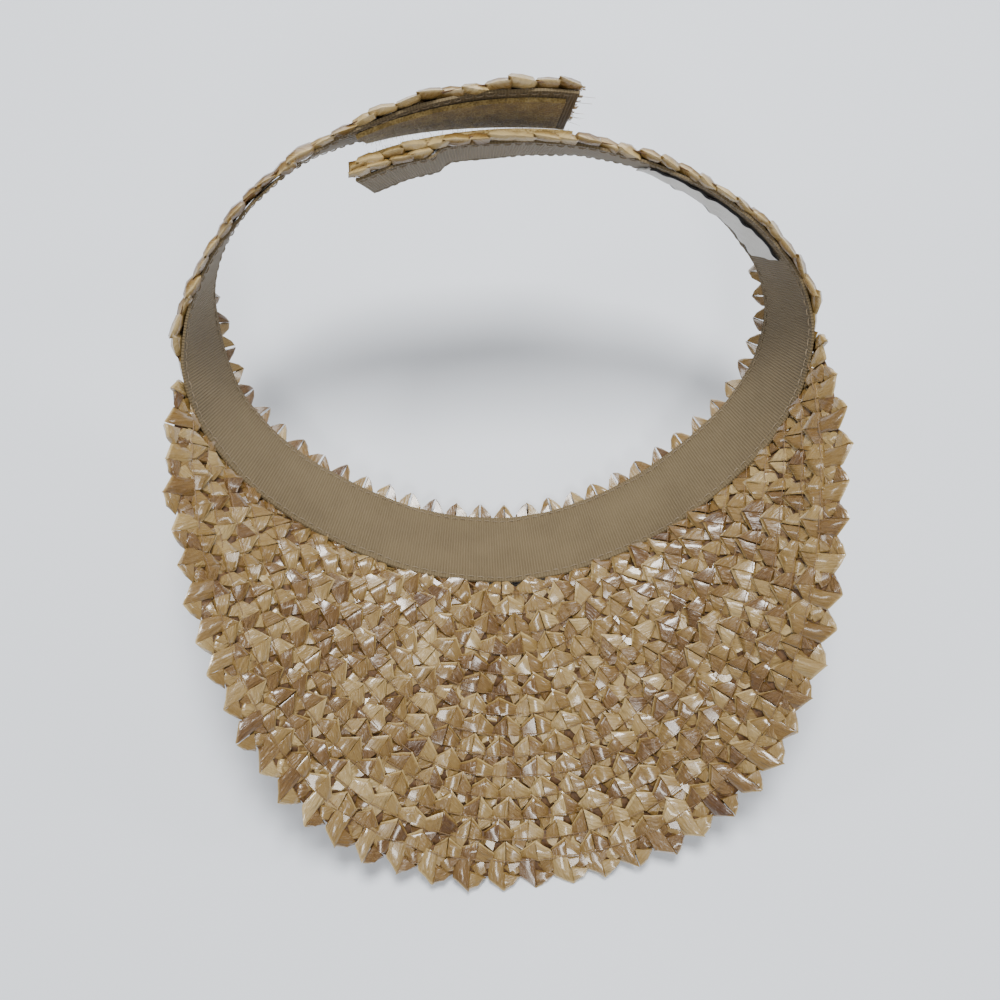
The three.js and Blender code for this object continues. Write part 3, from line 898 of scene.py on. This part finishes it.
def tapeMaterial(name, colours):
    material, make, shader, link = newMaterial(name, {"Sheen Weight": 0.08})
    here = make("ShaderNodeTexCoord").outputs["Object"]
    pile = make("ShaderNodeTexVoronoi", {"Vector": here, "Scale": 1400.0})
    patch = noiseOf(make, 260.0, 4.0)
    both = addScaled(make, pile.outputs["Distance"], 0.5, patch)
    link(ramp(make, both, colours), shader.inputs["Base Color"])
    finishSurface(make, shader, link, both, 0.9, 0.0006, patch, 0.5, 0.9)
    return material


def labelMaterial():
    material, make, shader, link = newMaterial("whiteWovenLabel")
    chart = make("ShaderNodeUVMap", uv_map="clothUV")
    threads = [make("ShaderNodeTexWave", {"Vector": chart.outputs[0], "Scale": 700.0, "Distortion": 0.4},
                    bands_direction=way).outputs["Fac"] for way in "XY"]
    weave = mathOf(make, "MULTIPLY", *threads)
    spot = make("ShaderNodeSeparateXYZ", {0: chart.outputs[0]})
    middle = (label["low"] + label["high"]) / 2 * mm
    half = (label["high"] - label["low"]) / 2 * mm
    aside = mathOf(make, "ABSOLUTE", mathOf(make, "SUBTRACT", spot.outputs["Y"], middle))
    woven = make("ShaderNodeMapRange", {"Value": aside, "From Min": half - label["edge"] * mm,
                                        "From Max": half - (label["edge"] - 0.15) * mm})
    white = ramp(make, weave, label["colours"])
    mixed = make("ShaderNodeMix", {"Factor": woven.outputs[0], 6: white, 7: (*label["border"], 1)},
                 data_type="RGBA")
    link(mixed.outputs[2], shader.inputs["Base Color"])
    finishSurface(make, shader, link, weave, 0.4, 0.0002, weave, 0.55, 0.8)
    return material


def makeStrip(name, span, low, high, innerDepth, outerDepth, material, slot, node, crease=0):
    angles = np.linspace(*span, 60) * degree
    heights = np.linspace(low, high, 12)
    angle, height = np.meshgrid(angles, heights, indexing="ij")
    fold = crease * np.sin(angle * 33 + 0.25 * height) ** 2 * np.sin(angle * 14 - 0.1 * height) ** 2
    inner = toFloor(wallPoint(angle, height, innerDepth - fold))
    outer = toFloor(wallPoint(angle, height, outerDepth - fold))
    lengths = arcLengths(inner[:, len(heights) // 2])
    mesh = stripMesh(name, inner, outer, lengths, heights * mm, material)
    piece = addPiece(name, mesh, slot, node)
    return piece


# Short stiff fibres that stand on the open face of a tape
def pileTree():
    tree = bpy.data.node_groups.new("tapePile", "GeometryNodeTree")
    for name, kind in (("Tape", "Geometry"), ("Fibre", "Collection"), ("Density", "Float"), ("Seed", "Int"),
                       ("Pile", "Material")):
        tree.interface.new_socket(name, in_out="INPUT", socket_type="NodeSocket" + kind)
    tree.interface.new_socket("Fibres", in_out="OUTPUT", socket_type="NodeSocketGeometry")
    make = nodeMaker(tree)
    given = make("NodeGroupInput").outputs
    marked = make("GeometryNodeInputNamedAttribute", {"Name": "openFace"}, data_type="FLOAT")
    isOpen = make("FunctionNodeCompare", {0: marked.outputs[0], 1: 0.9},
                  data_type="FLOAT", operation="GREATER_THAN")
    spread = make("GeometryNodeDistributePointsOnFaces", {
        "Mesh": given["Tape"], "Selection": isOpen.outputs[0], "Density": given["Density"],
        "Seed": given["Seed"]})
    lean = make("FunctionNodeRandomValue", {0: (-0.6, -2.3, -3.1), 1: (0.6, -0.9, 3.1),
                                            "Seed": given["Seed"]}, data_type="FLOAT_VECTOR")
    leaning = make("FunctionNodeEulerToRotation", {0: lean.outputs[0]})
    turned = make("FunctionNodeRotateRotation", {0: spread.outputs["Rotation"], 1: leaning.outputs[0]},
                  rotation_space="LOCAL")
    size = make("FunctionNodeRandomValue", {2: 0.5, 3: 1.2, "Seed": given["Seed"]}, data_type="FLOAT")
    source = make("GeometryNodeCollectionInfo", {"Collection": given["Fibre"], "Separate Children": True,
                                                 "Reset Children": True})
    placed = make("GeometryNodeInstanceOnPoints", {
        "Points": spread.outputs["Points"], "Instance": source.outputs[0], "Pick Instance": True,
        "Rotation": turned.outputs[0], "Scale": size.outputs[1]})
    real = make("GeometryNodeRealizeInstances", {"Geometry": placed.outputs[0]})
    finished = make("GeometryNodeSetMaterial", {"Geometry": real.outputs[0], "Material": given["Pile"]})
    make("NodeGroupOutput", {0: finished.outputs[0]})
    return tree


def makeTapes():
    brown = tapeMaterial("brownHookAndLoop", tape["colours"])
    pale = tapeMaterial("paleTapePile", tape["pile"])
    group = newGroup("tapeFibre")
    part = np.linspace(0, 1, 4)
    makeBar("tapeFibre", group, part * tape["pileLength"], 0.4 * part ** 2, 0.07 - 0.03 * part, 3)
    tree = pileTree()
    for side, depth, openHalf, restsOn in (("hook", -0.3 - tape["thickness"], 0, ribbonPiece),
                                           ("loop", 3.4, 1, bandPiece)):
        piece = makeStrip(side + "Tape", tape[side], tape["low"], tape["high"], depth,
                          depth + tape["thickness"], brown, "hook_and_loop", side + "_tape")
        guide = piece.data.copy()
        half = len(guide.vertices) // 2
        marks = [1.0 - openHalf] * half + [float(openHalf)] * half
        guide.attributes.new("openFace", "FLOAT", "POINT").data.foreach_set("value", marks)
        mesh = growMesh(side + "Pile", guide, tree, {
            "Fibre": group, "Density": tape["density"], "Seed": tape["seed"], "Pile": pale})
        addPiece(side + "Pile", mesh, "hook_and_loop")
        print("%s tape: %d pile faces" % (side, len(mesh.polygons)))
    return group


tapeFibres = makeTapes()
makeStrip("wovenLabel", label["span"], label["low"], label["high"], -0.3 - label["thickness"], -0.3,
          labelMaterial(), "label", "label", label["crease"])
for group in (peaks, doublePeaks, crownPeaks, unders, picots, leaves, stitches, wisps, ribbonStitches,
              tapeFibres):
    for helper in list(group.objects):
        bpy.data.objects.remove(helper)
    bpy.data.collections.remove(group)


# Floor, light and camera
def makeStage():
    floorMesh = bpy.data.meshes.new("paleFloor")
    wide = 3.0
    corners = [(-wide, -wide, 0), (wide, -wide, 0), (wide, wide, 0), (-wide, wide, 0)]
    floorMesh.from_pydata(corners, [], [(0, 1, 2, 3)])
    material, make, shader, link = newMaterial("palePaper", {"Roughness": 0.6})
    cloud = noiseOf(make, 3.0, 3.0)
    link(ramp(make, cloud, [(0.3, (0.82, 0.86, 0.92)), (0.7, (0.86, 0.90, 0.96))]),
         shader.inputs["Base Color"])
    floorMesh.materials.append(material)
    floor = bpy.data.objects.new("paleFloor", floorMesh)
    bpy.context.scene.collection.objects.link(floor)


lights = (
    {"name": "wallGlow", "place": (0.1, 1.0, 0.42), "wide": 1.4, "tall": 0.45, "power": 5},
    {"name": "ceilingLight", "place": (0.05, 0.3, 1.1), "wide": 0.35, "tall": 0.35, "power": 15},
    {"name": "rightLight", "place": (0.85, 0.0, 0.6), "wide": 0.2, "tall": 0.2, "power": 1.6},
    {"name": "leftLight", "place": (-0.85, 0.0, 0.65), "wide": 0.2, "tall": 0.2, "power": 1.6},
    {"name": "frontLight", "place": (0.05, -0.75, 0.85), "wide": 0.25, "tall": 0.25, "power": 4},
)


def makeLights():
    for light in lights:
        data = bpy.data.lights.new(light["name"], "AREA")
        data.shape = "RECTANGLE"
        data.size = light["wide"]
        data.size_y = light["tall"]
        data.energy = light["power"]
        lamp = bpy.data.objects.new(light["name"], data)
        lamp.location = light["place"]
        aim = Vector((0, 0, 0.05)) - lamp.location
        lamp.rotation_euler = aim.to_track_quat("-Z", "Y").to_euler()
        bpy.context.scene.collection.objects.link(lamp)
    world = bpy.data.worlds.new("softRoom")
    world.use_nodes = True
    glow = world.node_tree.nodes["Background"]
    glow.inputs["Color"].default_value = (0.95, 0.97, 1.0, 1)
    glow.inputs["Strength"].default_value = 0.26
    bpy.context.scene.world = world


view = {"place": (-0.0078, -0.11098, 0.38069), "pitch": 70.96 * degree, "heading": 2.2 * degree,
        "roll": 2.1 * degree, "focal": 1.04, "sensor": 36}


def makeCamera():
    pitch, heading = view["pitch"], view["heading"]
    right = Vector((math.cos(heading), -math.sin(heading), 0))
    up = Vector((math.sin(heading) * math.sin(pitch), math.cos(heading) * math.sin(pitch), math.cos(pitch)))
    c, s = math.cos(view["roll"]), math.sin(view["roll"])
    right, up = right * c - up * s, right * s + up * c
    data = bpy.data.cameras.new("photoView")
    data.sensor_width = view["sensor"]
    data.lens = view["sensor"] * view["focal"]
    camera = bpy.data.objects.new("photoView", data)
    axes = Matrix((right, up, right.cross(up))).transposed()
    camera.matrix_world = Matrix.Translation(view["place"]) @ axes.to_4x4()
    bpy.context.scene.collection.objects.link(camera)
    bpy.context.scene.camera = camera


makeStage()
makeLights()
makeCamera()
print("scene ready")
